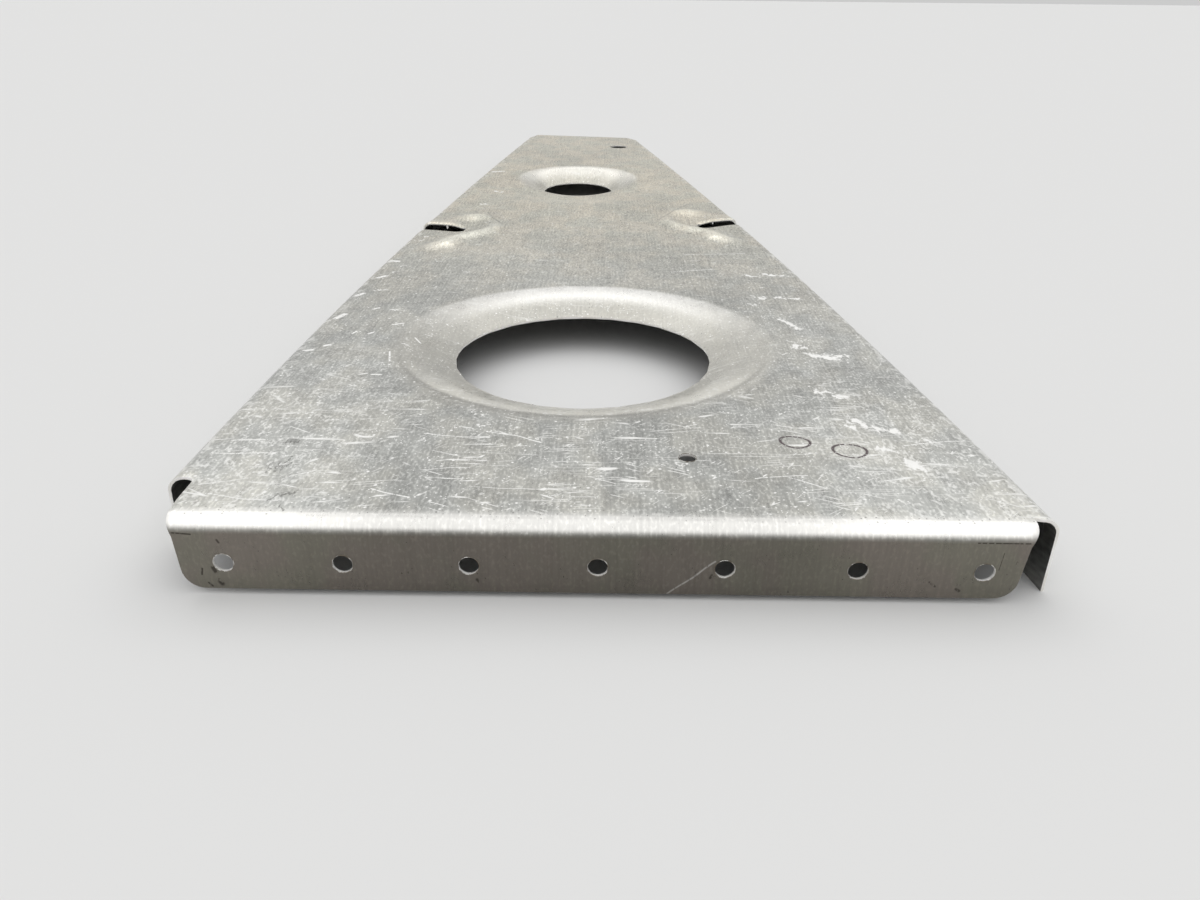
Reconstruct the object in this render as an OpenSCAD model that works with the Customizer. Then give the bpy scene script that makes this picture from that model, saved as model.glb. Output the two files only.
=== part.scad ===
// Wing rib folded from one aluminium sheet: a tapering web with flanges bent down on all four sides,
// two dimpled lightening holes, and a stringer notch with a pressed rim in each long edge.
// X runs across the rib, Y runs aft from the front flange, and Z is up, away from the flanges.

/* [Sheet] */
// Thickness of the sheet
sheet_t = 0.64; // [0.5:0.01:1]
// Outside radius of every bend
bend_r = 3.9; // [2.5:0.1:5]
// Depth of the two side flanges, which the rib rests on
side_flange_h = 17.5; // [15:0.5:25]
// Depth of the front and aft flanges
end_flange_h = 16; // [13:0.5:20]

/* [Left edge] */
// Distance from the datum line to the flange's face, at the notch
left_reach = 82.2; // [76:0.1:88]
// Station of the notch
left_notch_y = 249; // [240:1:258]
// Angle of the edge to the datum line, at the notch
left_taper = 4.15; // [3.5:0.05:5]
// Radius of the edge ahead of the notch
left_front_r = 4170; // [3500:10:6000]
// Radius of the edge behind the notch
left_aft_r = 10570; // [8000:10:14000]
// Station where the flange starts
left_flange_y = 17.5; // [14:0.5:22]
// Station where the flange ends
left_flange_end_y = 536; // [520:1:537]

/* [Right edge] */
// Distance from the datum line to the flange's face, at the notch
right_reach = 61.7; // [56:0.1:68]
// Station of the notch
right_notch_y = 266; // [258:1:274]
// Angle of the edge to the datum line, at the notch
right_taper = 8.05; // [7.5:0.05:9]
// Radius of the edge ahead of the notch
right_front_r = 5230; // [4200:10:7000]
// Radius of the edge behind the notch
right_aft_r = 13450; // [10000:10:16000]
// Station where the flange starts
right_flange_y = 4.8; // [4.5:0.1:12]
// Station where the flange ends
right_flange_end_y = 527; // [515:1:528]

/* [Front and aft flanges] */
// Distance from the datum line to the front flange's left end
front_left = 84.5; // [78:0.5:85]
// Distance from the datum line to the front flange's right end
front_right = 84.9; // [78:0.5:85]
// Width of the aft flange
aft_w = 66; // [58:0.5:68]
// Place of the aft flange's middle across the rib
aft_x = -18; // [-20:0.5:-16]
// Station of the aft flange's face at its middle
aft_y = 543; // [541:0.5:550]
// Angle of the aft flange to the front flange
aft_skew = 9.2; // [8:0.1:10]
// How far the ends of these flanges lean in over their depth
end_lean = 0.8; // [0:0.1:2]
// Radius of the bottom corners of these flanges
end_corner_r = 4.5; // [2:0.5:6]
// How far the web reaches past the front flange's ends
relief_inset = 1.4; // [0.8:0.1:2]
// Radius in the corner of the left relief
relief_r = 2.4; // [1:0.1:2.4]

/* [Lightening holes] */
// Place of the large hole across the rib
large_hole_x = -6.1; // [-12:0.1:0]
// Station of the large hole
large_hole_y = 104.6; // [98:0.1:112]
// Radius of the large hole at its lip
large_hole_r = 37.8; // [34:0.1:40]
// Width of the dimple round the large hole
large_dimple_w = 17.8; // [15:0.1:19]
// Slope of the large dimple's cone below the web
large_dimple_slope = 18.5; // [15:0.5:24]
// Radius of the bend where the large dimple leaves the web
large_dimple_bend_r = 14; // [8:0.5:18]
// Place of the small hole across the rib
small_hole_x = -16.3; // [-20:0.1:-12]
// Station of the small hole
small_hole_y = 378.9; // [370:0.1:388]
// Radius of the small hole at its lip
small_hole_r = 19.1; // [16:0.1:22]
// Width of the dimple round the small hole
small_dimple_w = 14.7; // [12:0.1:16]
// Slope of the small dimple's cone below the web
small_dimple_slope = 27.5; // [20:0.5:32]
// Radius of the bend where the small dimple leaves the web
small_dimple_bend_r = 8.5; // [5:0.5:14]

/* [Notches] */
// Depth of each notch from the flange's face
notch_depth = 20.5; // [14:0.5:24]
// Width of each notch
notch_w = 9.5; // [7:0.1:12]
// Radius of the notch's inner corners
notch_corner_r = 3.6; // [2:0.1:3.6]
// Turn of the left notch away from square to its edge
left_notch_turn = 3; // [0:0.5:8]
// Turn of the right notch away from square to its edge
right_notch_turn = 8; // [0:0.5:10]
// Height of the pressed rim round each notch
rim_h = 1.4; // [0.8:0.1:2]
// Radius of the rim's crest in plan
rim_r = 45; // [40:0.5:50]
// Width of the rim's slope towards the web
rim_outer_w = 7; // [5:0.5:9]
// Width of the rim's slope towards the notch
rim_inner_w = 15; // [10:0.5:18]
// Distance from the flange's face out to the centre of the rim's crest
rim_centre_out = 15; // [10:0.5:20]
// Distance from the notch aft to the centre of the rim's crest
rim_centre_aft = 7; // [0:0.5:10]
// Slope at which the rim fades out towards the bend
rim_fade = 8; // [6:0.5:12]

/* [Small holes] */
// Radius of the rivet holes
rivet_r = 2.02; // [1.5:0.01:2.5]
// Depth of the rivet lines below the web
rivet_drop = 9.8; // [8:0.1:11]
// Spacing of the rivet holes in the side and aft flanges
rivet_pitch = 25.4; // [20:0.1:30]
// Least distance from a rivet hole to a flange's end
rivet_margin = 8; // [7:0.5:12]
// Place of the tooling hole across the rib
tooling_x = 19.2; // [10:0.1:60]
// Station of the tooling hole
tooling_y = 29.3; // [15:0.1:30]
// Radius of the tooling hole
tooling_r = 2.05; // [1.5:0.05:3]
// Place of the tail hole across the rib
tail_x = 7.7; // [-20:0.1:10]
// Station of the tail hole
tail_y = 490.7; // [470:0.1:510]
// Radius of the tail hole
tail_r = 5.9; // [4:0.1:7]

/* [Hidden] */

// One record for each lightening hole: place, radius, and its dimple's width, slope and bend radius
LARGE_HOLE = [[large_hole_x, large_hole_y], large_hole_r,
    large_dimple_w, large_dimple_slope, large_dimple_bend_r];
SMALL_HOLE = [[small_hole_x, small_hole_y], small_hole_r,
    small_dimple_w, small_dimple_slope, small_dimple_bend_r];
tooling_hole = [tooling_x, tooling_y];
tail_hole = [tail_x, tail_y];
// Places of the front flange's rivet holes across the rib, which are not quite even
front_rivets = [-75.1, -51.3, -26.1, -0.4, 24.9, 51.4, 76.5];

// Smoothness of small round things and of the long, nearly straight edges
round_fn = 96;
edge_fn = 1440;
corner_steps = 8;
slope_steps = 8;
// Overlap of one stretch of sheet with the next, where they are one surface
lap = 5;
// Overshoot of every cutting tool
over = 2;
// How far the foot of a pressed rim dips into the sheet that it rises from
rim_sink = 0.06;
// A length that reaches past the rib from anywhere on it
far = 200;

// One record for each long edge: mirrored, reach, station, taper, radii, ends and turn of the notch
LEFT = [true, left_reach, left_notch_y, left_taper, left_front_r, left_aft_r,
    left_flange_y, left_flange_end_y, left_notch_turn];
RIGHT = [false, right_reach, right_notch_y, right_taper, right_front_r, right_aft_r,
    right_flange_y, right_flange_end_y, right_notch_turn];

function edge_joint(e) = [e[1], e[2]];
function edge_taper(e) = e[3];
function edge_radius(e, aft) = aft ? e[5] : e[4];
function flange_start(e) = e[6];
function flange_end(e) = e[7];
function notch_turn(e) = e[8];
function edge_centre(e, aft) =
    edge_joint(e) - edge_radius(e, aft) * [cos(edge_taper(e)), sin(edge_taper(e))];
function edge_angle(e, aft, y) = asin((y - edge_centre(e, aft).y) / edge_radius(e, aft));
function edge_x(e, aft, y) =
    edge_centre(e, aft).x + edge_radius(e, aft) * cos(edge_angle(e, aft, y));

// The rib's extent, which sets its origin at the middle of its base
x_min = -edge_x(LEFT, false, left_flange_y);
x_max = edge_x(RIGHT, false, right_flange_y);
y_max = aft_y + aft_w / 2 * sin(aft_skew);

// Where a side's bend starts, on the line square to its edge at a station
function bend_start(e, aft, y) =
    let (a = edge_angle(e, aft, y), r = edge_radius(e, aft) - bend_r)
    let (p = edge_centre(e, aft) + r * [cos(a), sin(a)])
    [e[0] ? -p.x : p.x, p.y];

// Where the aft flange's bend starts, at a distance along it from its middle
function aft_bend_start(x) =
    [aft_x, aft_y] + x * [cos(aft_skew), -sin(aft_skew)] - bend_r * [sin(aft_skew), cos(aft_skew)];

function unit(v) = v / norm(v);

// Points of the arc that rounds corner p between its neighbours a and b
function corner_arc(p, a, b, r) =
    let (u = unit(a - p), v = unit(b - p), half = acos(u * v) / 2)
    let (c = p + unit(u + v) * r / sin(half), s = p + u * r / tan(half) - c)
    let (side = u.x * v.y - u.y * v.x > 0 ? -1 : 1)
    [for (i = [0 : corner_steps]) let (t = side * (180 - 2 * half) * i / corner_steps)
        c + [s.x * cos(t) - s.y * sin(t), s.x * sin(t) + s.y * cos(t)]];

// A polygon's points with each corner rounded to its own radius, or left sharp at 0
function rounded(points, radii) =
    let (n = len(points))
    [for (i = [0 : n - 1]) each radii[i] > 0
        ? corner_arc(points[i], points[(i + n - 1) % n], points[(i + 1) % n], radii[i])
        : [points[i]]];

// A side's own frame: the left edge is built as a right edge and mirrored
module on_side(e) {
    if (e[0]) mirror([1, 0, 0]) children();
    else children();
}

// The frame at a notch: X out of the flange's face, Y aft along the edge
module at_notch(e) {
    on_side(e) translate(edge_joint(e)) rotate(edge_taper(e)) children();
}

// Section of a fold: a strip of web, a quarter bend and a flange, with the outer face at x = 0
module fold_section(h) {
    translate([-bend_r - lap, -sheet_t]) square([lap, sheet_t]);
    translate([-sheet_t, -h]) square([sheet_t, h - bend_r]);
    intersection() {
        translate([-bend_r, -bend_r]) square(bend_r);
        translate([-bend_r, -bend_r]) difference() {
            circle(bend_r, $fn = round_fn);
            circle(bend_r - sheet_t, $fn = round_fn);
        }
    }
}

// One stretch of side flange, swept along its arc between two stations
module side_fold(e, aft, y0, y1) {
    r = edge_radius(e, aft);
    a0 = edge_angle(e, aft, y0);
    a1 = edge_angle(e, aft, y1);
    on_side(e) translate(edge_centre(e, aft))
        rotate_extrude(angle = a1 - a0, start = a0, $fn = edge_fn)
            translate([r, 0]) fold_section(side_flange_h);
}

// A row of rivet holes along a stretch of side flange
module side_rivets(e, aft, y0, y1) {
    r = edge_radius(e, aft);
    count = floor((y1 - y0 - 2 * rivet_margin) / rivet_pitch) + 1;
    middle = edge_angle(e, aft, (y0 + y1) / 2);
    step = rivet_pitch / r * 180 / PI;
    on_side(e) translate(edge_centre(e, aft))
        for (i = [0 : count - 1])
            rotate(middle + step * (i - (count - 1) / 2)) translate([r, 0, -rivet_drop])
                rotate([0, 90, 0]) cylinder(h = bend_r, r = rivet_r, center = true, $fn = round_fn);
}

// Both stretches of a side, each ending inside the notch
module side_folds(e) {
    side_fold(e, false, flange_start(e), edge_joint(e).y - over);
    side_fold(e, true, edge_joint(e).y + over, flange_end(e));
}

module side_rivet_rows(e) {
    side_rivets(e, false, flange_start(e), edge_joint(e).y - notch_w);
    side_rivets(e, true, edge_joint(e).y + notch_w, flange_end(e));
}

// An end flange from x0 to x1, facing +Y, with its ends leaning in and its bottom corners rounded
module end_fold(x0, x1) {
    h = end_flange_h;
    outline = [[x0, over], [x0 + end_lean, -h], [x1 - end_lean, -h], [x1, over]];
    intersection() {
        translate([x0 - over, 0, 0]) rotate([90, 0, 90])
            linear_extrude(x1 - x0 + 2 * over) fold_section(h);
        rotate([90, 0, 0]) linear_extrude(far, center = true)
            polygon(rounded(outline, [0, end_corner_r, end_corner_r, 0]));
    }
}

module front_fold() {
    mirror([0, 1, 0]) end_fold(-front_left, front_right);
}

// The aft flange's frame: X along the flange, Y out of its face
module at_aft_end() {
    translate([aft_x, aft_y]) rotate(-aft_skew) children();
}

// A rivet hole through an end flange, in that flange's frame
module end_rivet(x) {
    translate([x, 0, -rivet_drop]) rotate([90, 0, 0])
        cylinder(h = bend_r, r = rivet_r, center = true, $fn = round_fn);
}

module end_rivets() {
    for (x = front_rivets) end_rivet(x);
    at_aft_end() for (i = [-1 : 1]) end_rivet(i * rivet_pitch);
}

// The flat of the web, out to the start of each bend, with a relief cut at each corner.
// The folds overlap it along the sides, so its long edges are chords of their arcs.
function web_outline() =
    let (left = -front_left - relief_inset, right = front_right + relief_inset)
    let (half = aft_w / 2)
    rounded([
        [-front_left, bend_r],
        [front_right, bend_r],
        [right, right_flange_y],
        bend_start(RIGHT, false, right_flange_y),
        bend_start(RIGHT, false, right_notch_y),
        bend_start(RIGHT, true, right_flange_end_y),
        aft_bend_start(half),
        aft_bend_start(-half),
        bend_start(LEFT, true, left_flange_end_y),
        bend_start(LEFT, false, left_notch_y),
        bend_start(LEFT, false, left_flange_y),
        [left, left_flange_y],
        [left, 2 * bend_r],
    ], [0, 0, 0, 0, 0, 0, 0, 0, 0, 0, 0, relief_r, bend_r]);

function dimple_reach(hole) = hole[1] + hole[2];

// The sheet of a dimple in section, from the web down to the lip of the hole
function dimple_section(hole) =
    let (width = hole[2], a = hole[3], outer_r = hole[4], inner_r = outer_r - sheet_t)
    let (reach = dimple_reach(hole), centre = [reach, -outer_r], n = slope_steps)
    let (run = width - outer_r * sin(a), lip = [-run, -run * tan(a)])
    let (top = [for (i = [0 : n]) centre + outer_r * [-sin(a * i / n), cos(a * i / n)]])
    let (under = [for (i = [0 : n]) centre + inner_r * [-sin(a * i / n), cos(a * i / n)]])
    concat([[reach + lap, 0]], top, [top[n] + lip, under[n] + lip],
        [for (i = [n : -1 : 0]) under[i]], [[reach + lap, -sheet_t]]);

module dimple(hole) {
    translate(hole[0]) rotate_extrude($fn = round_fn * 2) polygon(dimple_section(hole));
}

// The disc of flat web that a dimple takes the place of
module dimple_disc(hole) {
    translate(hole[0]) circle(dimple_reach(hole), $fn = round_fn * 2);
}

// The cutter for a notch, through the web and its flange
module notch(e) {
    points = [[far, -notch_w / 2], [-notch_depth, -notch_w / 2],
        [-notch_depth, notch_w / 2], [far, notch_w / 2]];
    at_notch(e) rotate(notch_turn(e)) translate([0, 0, -side_flange_h - over])
        linear_extrude(side_flange_h + 2 * over)
            polygon(rounded(points, [0, notch_corner_r, notch_corner_r, 0]));
}

// Height of the pressed rim at a share of the way down from its crest, to just under the web's face
function rim_fall(share) = (rim_h + rim_sink) * (1 + cos(180 * share)) / 2 - rim_sink;

// The rim in section about its own centre, with a base inside the sheet
function rim_section() =
    let (n = slope_steps, base = -sheet_t / 2)
    concat([[rim_r + rim_outer_w, base]],
        [for (i = [n : -1 : 0]) [rim_r + rim_outer_w * i / n, rim_fall(i / n)]],
        [for (i = [1 : n]) [rim_r - rim_inner_w * i / n, rim_fall(i / n)]],
        [[rim_r - rim_inner_w, base]]);

// The body of the pressed rim: its upper face is the sheet's, and it fades out at the bend
module notch_rim(e) {
    at_notch(e) intersection() {
        translate([rim_centre_out, rim_centre_aft]) rotate_extrude($fn = round_fn * 2)
            polygon(rim_section());
        translate([-bend_r, 0, 0]) rotate([0, rim_fade, 0])
            translate([-far, -far, -far]) cube([far, 2 * far, far]);
    }
}

module notch_rims() {
    notch_rim(LEFT);
    notch_rim(RIGHT);
}

module web() {
    translate([0, 0, -sheet_t]) linear_extrude(sheet_t) difference() {
        polygon(web_outline());
        dimple_disc(LARGE_HOLE);
        dimple_disc(SMALL_HOLE);
        translate(tooling_hole) circle(tooling_r, $fn = round_fn);
        translate(tail_hole) circle(tail_r, $fn = round_fn);
    }
}

// The flat web with every flange folded and both dimples pressed
module folded_sheet() {
    web();
    dimple(LARGE_HOLE);
    dimple(SMALL_HOLE);
    side_folds(LEFT);
    side_folds(RIGHT);
    front_fold();
    at_aft_end() end_fold(-aft_w / 2, aft_w / 2);
}

// The sheet with the rims pressed up: each rim is added on top and hollowed from below
module pressed_sheet() {
    difference() {
        union() {
            folded_sheet();
            notch_rims();
        }
        translate([0, 0, -sheet_t]) notch_rims();
    }
}

module wing_rib() {
    color("silver") translate([-(x_min + x_max) / 2, -y_max / 2, side_flange_h]) difference() {
        pressed_sheet();
        notch(LEFT);
        notch(RIGHT);
        side_rivet_rows(LEFT);
        side_rivet_rows(RIGHT);
        end_rivets();
    }
}

wing_rib();
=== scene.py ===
"""The looks of a worn aluminium wing rib: its folded sheet, its finish, and a plain studio around it."""
import math
from dataclasses import dataclass
from functools import reduce
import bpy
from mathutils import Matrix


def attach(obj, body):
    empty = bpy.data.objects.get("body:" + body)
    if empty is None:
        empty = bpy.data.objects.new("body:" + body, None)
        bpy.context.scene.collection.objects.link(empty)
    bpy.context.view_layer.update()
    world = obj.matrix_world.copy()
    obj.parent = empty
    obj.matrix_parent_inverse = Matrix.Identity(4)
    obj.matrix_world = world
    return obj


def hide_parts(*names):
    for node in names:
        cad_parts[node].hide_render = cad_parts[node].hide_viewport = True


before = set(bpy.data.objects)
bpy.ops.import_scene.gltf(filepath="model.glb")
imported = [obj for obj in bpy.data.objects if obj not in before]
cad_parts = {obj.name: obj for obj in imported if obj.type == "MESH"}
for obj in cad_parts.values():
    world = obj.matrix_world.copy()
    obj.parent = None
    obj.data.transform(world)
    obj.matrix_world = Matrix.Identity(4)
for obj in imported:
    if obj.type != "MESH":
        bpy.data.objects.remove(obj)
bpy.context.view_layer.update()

from types import SimpleNamespace

import bpy
import numpy as np
from mathutils import Matrix, Vector
from mathutils.geometry import delaunay_2d_cdt
from mathutils.kdtree import KDTree

# The rib's sizes, in millimetres: X across, Y aft from the front flange's face, Z = 0 on top of the web
MM = 0.001
SHEET_T = 0.64
BEND_R = 3.9
BEND_ARC = BEND_R * math.pi / 2
SIDE_H, END_H = 17.5, 16.0
FRONT_LEFT, FRONT_RIGHT = -84.5, 84.9
RELIEF_INSET, RELIEF_R = 1.4, 2.4
END_LEANS, END_CORNER_R, LEAN_TOP = (0.8, 0.8), 4.5, 2.0
FRONT_LEANS, FRONT_FLARES, FLARE_DEPTH = (0.8, 1.6), (1.1, 1.4), 5.0
AFT_MIDDLE, AFT_HALF, AFT_SKEW = np.array([-18.0, 543.0]), 33.0, math.radians(9.2)
AFT_ALONG = np.array([math.cos(AFT_SKEW), -math.sin(AFT_SKEW)])
AFT_OUT = np.array([math.sin(AFT_SKEW), math.cos(AFT_SKEW)])
# The web sags a little in front of the small hole: how deep, where it starts, is deepest and ends,
# and half its width
SAG, SAG_START, SAG_LOW, SAG_END, SAG_HALF = 4.8, 296.6, 348.0, 417.0, 58.0
NOTCH_DEPTH, NOTCH_W, NOTCH_CORNER_R = 20.5, 9.5, 3.6
# Crest of the pressed rim round a notch, out of the flange's face and aft along the edge,
# with its height at each place
RIM_PATH = np.array([(-9, -42), (-14, -36), (-19, -30), (-21, -20), (-26, -13), (-31, -6), (-33.5, 3),
                     (-31.5, 12), (-28, 21), (-24.5, 30), (-17, 42)])
RIM_HEIGHTS = np.array([0, 0.9, 1.8, 1.2, 1.5, 1.4, 0.9, 0.45, 0.4, 0.3, 0])
RIM_OUTER_W, RIM_INNER_W, RIM_FADE_W, DIP_R = 6.5, 9.0, 5.0, 9.0
# The sheet swells behind a notch's inner end, and stands a little higher behind the notch,
# with its edge turned down
MOUND, MOUND_AT, MOUND_R = 1.6, np.array([-21.0, 19.0]), 7.5
LIP_W, LIP_RUN = 11.0, 8.0
CURL, CURL_W, CURL_RUN, CURL_START = 0.75, 1.7, 3.0, 2
RIVET_R, RIVET_DROP, RIVET_PITCH, RIVET_MARGIN = 2.02, 9.8, 25.4, 8.0
FRONT_RIVETS = (-75.1, -51.3, -26.1, -0.4, 24.9, 51.4, 76.5)
# Burrs: half the thickness, gap to the hole's edge, waves in each millimetre, how far they swell, and a seed
BURR_SIZE, BURR_GAP, BURR_WAVES, BURR_SWELL, BURR_SEED = 0.08, 0.06, 0.9, 1.6, 4
BURR_STEPS, BURR_SECTION_STEPS = 28, 6
TOOLING_HOLE, TOOLING_R = np.array([19.2, 29.3]), 2.05
TAIL_HOLE, TAIL_R = np.array([7.7, 490.7]), 5.9
# From these sizes to the shared frame, whose origin is the middle of the rib's base
TO_FRAME = np.array([0.2878, -274.138, SIDE_H])

# Spacing of the sheet's points: over the web, round its pressed shapes, and across a bend
WEB_STEP, FINE_STEP, BEND_ROWS = 2.8, 1.5, 8
OUTLINE_STEP = 0.7 * WEB_STEP
SIDE_STEPS, WALL_STEPS, DIMPLE_ROWS, CURL_ROWS = 60, 16, 15, 6
# Rings of points round a small hole, as multiples of its radius
HOLE_RINGS = (1.3, 1.7)
# Points keep this far from a cut edge and this share of a step apart, and count as one when this near
EDGE_GAP, POINT_GAP, SAME_POINT = 0.25, 0.75, 1e-5
# A triangle whose middle lies within this share of a hole's radius is cut away
CUT_SHARE = 0.995
# The worn cut edge: how far it is rounded, and the angles from which an edge is worn and is shaded sharp
WEAR_R, WEAR_ANGLE, SHARP_ANGLE = 0.12, math.radians(50), math.radians(40)
# How far the rubbed strip along a long edge's bend reaches to each side
FOLD_REACH = 4.5

# The photograph's camera: its lens and frame, how it was turned, and its place in the rib's millimetres
LENS, FRAME_W = 27, 36
PITCH, YAW, ROLL = math.radians(26.80), math.radians(0.30), math.radians(-0.59)
CAMERA_PLACE = np.array([0.6, -149.4, 91.9])
FLOOR_REACH = 30

# Colours of the metal, in pairs where they vary from place to place, of marks on it, and of the studio
COOL_METAL = ((0.495, 0.499, 0.475, 1), (0.512, 0.507, 0.468, 1))
WARM_METAL = ((0.562, 0.545, 0.458, 1), (0.592, 0.548, 0.45, 1))
# Painted shade: the front flange's colours, far darker than the bare metal it is made of
SHADED_FLANGE_METAL = ((0.15, 0.142, 0.117, 1), (0.15, 0.134, 0.116, 1))
INNER_METAL = ((0.98, 1.0, 0.97, 1), (1.0, 0.97, 0.9, 1))
FILED_METAL = ((0.96, 0.95, 0.93, 1), (0.84, 0.82, 0.77, 1))
TORN_METAL = ((0.22, 0.2, 0.17, 1), (0.75, 0.74, 0.7, 1))
# Painted highlight: the second colour here lightens the far rims of the dimples
PRESSED_METAL, RING_HIGHLIGHT_METAL = (0.54, 0.525, 0.475, 1), (0.57, 0.565, 0.55, 1)
# Painted highlight: the pale colour of the front bend
BEND_HIGHLIGHT_METAL = (0.76, 0.75, 0.72, 1)
# The scratch colour also paints two highlights by the left notch's rim
SCRATCH_AND_GLINT, INNER_SCRATCH = (0.94, 0.935, 0.91, 1), (0.8, 0.8, 0.78, 1)
# The dirt colour also paints shade along the creases
DIRT_AND_SHADE, BURR_DIRT = (0.04, 0.034, 0.028, 1), (0.2, 0.17, 0.13, 1)
INK = (0.055, 0.03, 0.035, 1)
FLOOR_PAINT = (0.72, 0.72, 0.715, 1)
SKY = (1, 1, 1, 1)


@dataclass
class Edge:
    """One long edge, drawn as a right edge; the left one is mirrored.

    Two arcs meet at the joint, by the notch, where the edge faces aft of straight out by its taper.
    """
    mirror: int
    joint: np.ndarray
    taper: float
    radii: tuple
    start: float
    end: float
    notch_turn: float
    notch_dip: float
    notch_lip: float

    def mirrored(self, points):
        """Points carried over between the right edge as drawn and this edge."""
        return points * np.array([self.mirror, 1])

    def centre(self, aft):
        """Centre of the arc in front of the notch or aft of it."""
        return self.joint - self.radii[aft] * np.array([math.cos(self.taper), math.sin(self.taper)])

    def angle(self, aft, station):
        """Where on its arc the edge reaches this far aft."""
        return math.asin((station - self.centre(aft)[1]) / self.radii[aft])

    def flat_point(self, aft, angle, past):
        """A point of the flat blank, past the start of the bend, at an angle about the edge's centre."""
        radius = self.radii[aft] - BEND_R + past
        return self.centre(aft) + radius * np.array([math.cos(angle), math.sin(angle)])


@dataclass
class Dimple:
    """A lightening hole with the sheet round it pressed down."""
    centre: np.ndarray
    hole_r: float
    width: float
    slope: float
    bend_r: float

    def reach(self):
        """Radius at which the sheet starts to go down."""
        return self.hole_r + self.width


LARGE = Dimple(np.array([-6.1, 104.6]), hole_r=37.8, width=19.5, slope=math.radians(21.9), bend_r=34.0)
SMALL = Dimple(np.array([-16.3, 378.9]), hole_r=19.1, width=14.7, slope=math.radians(30.5), bend_r=13.0)
DIMPLES = (LARGE, SMALL)
LEFT = Edge(mirror=-1, joint=np.array([82.2, 249.0]), taper=math.radians(4.15), radii=(4170, 10570),
            start=17.5, end=536, notch_turn=math.radians(3), notch_dip=0.6, notch_lip=1.4)
RIGHT = Edge(mirror=1, joint=np.array([61.7, 266.0]), taper=math.radians(8.05), radii=(5230, 13450),
             start=4.8, end=527, notch_turn=math.radians(8), notch_dip=1.1, notch_lip=0.9)
SIDES = (LEFT, RIGHT)


def turned(points, angle):
    """Points turned anticlockwise about the origin."""
    c, s = math.cos(angle), math.sin(angle)
    return np.asarray(points) @ np.array([[c, s], [-s, c]])


def flange_length(depth):
    """Length of sheet from the start of a bend to the edge of a flange of that depth."""
    return BEND_ARC + depth - BEND_R


def folded(past):
    """How far out and how far down the sheet's outer face lies, past the start of a bend."""
    turn = np.clip(past / BEND_R, 0, math.pi / 2)
    return BEND_R * np.sin(turn), BEND_R * (1 - np.cos(turn)) + np.maximum(past - BEND_ARC, 0)


def swell(share):
    """A smooth rise from 0 to 1 as share goes from 0 to 1."""
    return (1 - np.cos(math.pi * np.clip(share, 0, 1))) / 2


def unit(run):
    return run / np.linalg.norm(run)


def lengths(runs):
    return np.linalg.norm(runs, axis=1)


def rounded(points, radii, steps=8):
    """A chain of points with each corner rounded to its own radius, or left sharp at 0."""
    chain = []
    for i, (p, r) in enumerate(zip(points, radii)):
        if r == 0:
            chain.append(p)
            continue
        u, v = unit(points[i - 1] - p), unit(points[i + 1] - p)
        half = math.acos(float(np.clip(u @ v, -1, 1))) / 2
        centre = p + unit(u + v) * r / math.sin(half)
        first, last = p + u * r / math.tan(half) - centre, p + v * r / math.tan(half) - centre
        sweep = math.atan2(first[0] * last[1] - first[1] * last[0], first @ last)
        chain += [centre + turned(first, sweep * k / steps) for k in range(steps + 1)]
    return chain


def divided(chain, step):
    """The chain with its long stretches divided, so that no stretch is longer than step."""
    out = []
    for a, b in zip(chain[:-1], chain[1:]):
        count = max(1, math.ceil(np.linalg.norm(b - a) / step))
        out += [a + (b - a) * k / count for k in range(count)]
    return out + [chain[-1]]


def circle(centre, radius, count):
    """Points evenly round a circle."""
    turn = np.arange(count) * 2 * math.pi / count
    return centre + radius * np.stack([np.cos(turn), np.sin(turn)], 1)


def aft_point(along, past):
    """A point of the flat blank on the aft flange, past the start of its bend."""
    return AFT_MIDDLE + along * AFT_ALONG + (past - BEND_R) * AFT_OUT


def end_flange_chain(x0, x1, leans=END_LEANS, flares=(0.0, 0.0)):
    """Outline of an end flange in its own flat frame: along the flange, and past the start of its bend.

    Each end leans in towards the flange's edge, and can flare out at the bend.
    """
    length = flange_length(END_H)

    def end_at(x, lean, flare):
        pasts = np.linspace(0, BEND_ARC, BEND_ROWS + 1)
        drops = folded(pasts)[1]
        xs = x + lean * (LEAN_TOP + drops) / (LEAN_TOP + END_H) - flare * swell(1 - drops / FLARE_DEPTH)
        return [np.array(point) for point in zip(xs, pasts)]

    corners = [np.array([x0 + leans[0], length]), np.array([x1 - leans[1], length])]
    first, last = end_at(x0, leans[0], flares[0]), end_at(x1, -leans[1], -flares[1])[::-1]
    points = first + corners + last
    radii = [0] * len(first) + [END_CORNER_R] * 2 + [0] * len(last)
    return rounded(points, radii)


def notch_chain(edge):
    """Outline of a notch in the blank, from the front flange's bottom edge round to the aft flange's."""
    pasts = np.linspace(flange_length(SIDE_H), 0, WALL_STEPS)

    def wall(side):
        x = folded(pasts)[0] - BEND_R
        along = x * math.tan(edge.notch_turn) + side * NOTCH_W / 2 / math.cos(edge.notch_turn)
        aft = 1 if side > 0 else 0
        return [edge.flat_point(aft, edge.taper + y / edge.radii[aft], s) for s, y in zip(pasts, along)]

    half, deep = NOTCH_W / 2, -NOTCH_DEPTH
    slot = rounded([np.array(p) for p in ((0, -half), (deep, -half), (deep, half), (0, half))],
                   [0, NOTCH_CORNER_R, NOTCH_CORNER_R, 0])[1:-1]
    slot = [edge.joint + turned(turned(p, edge.notch_turn), edge.taper) for p in slot]
    return wall(-1) + slot + wall(1)[::-1]


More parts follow.
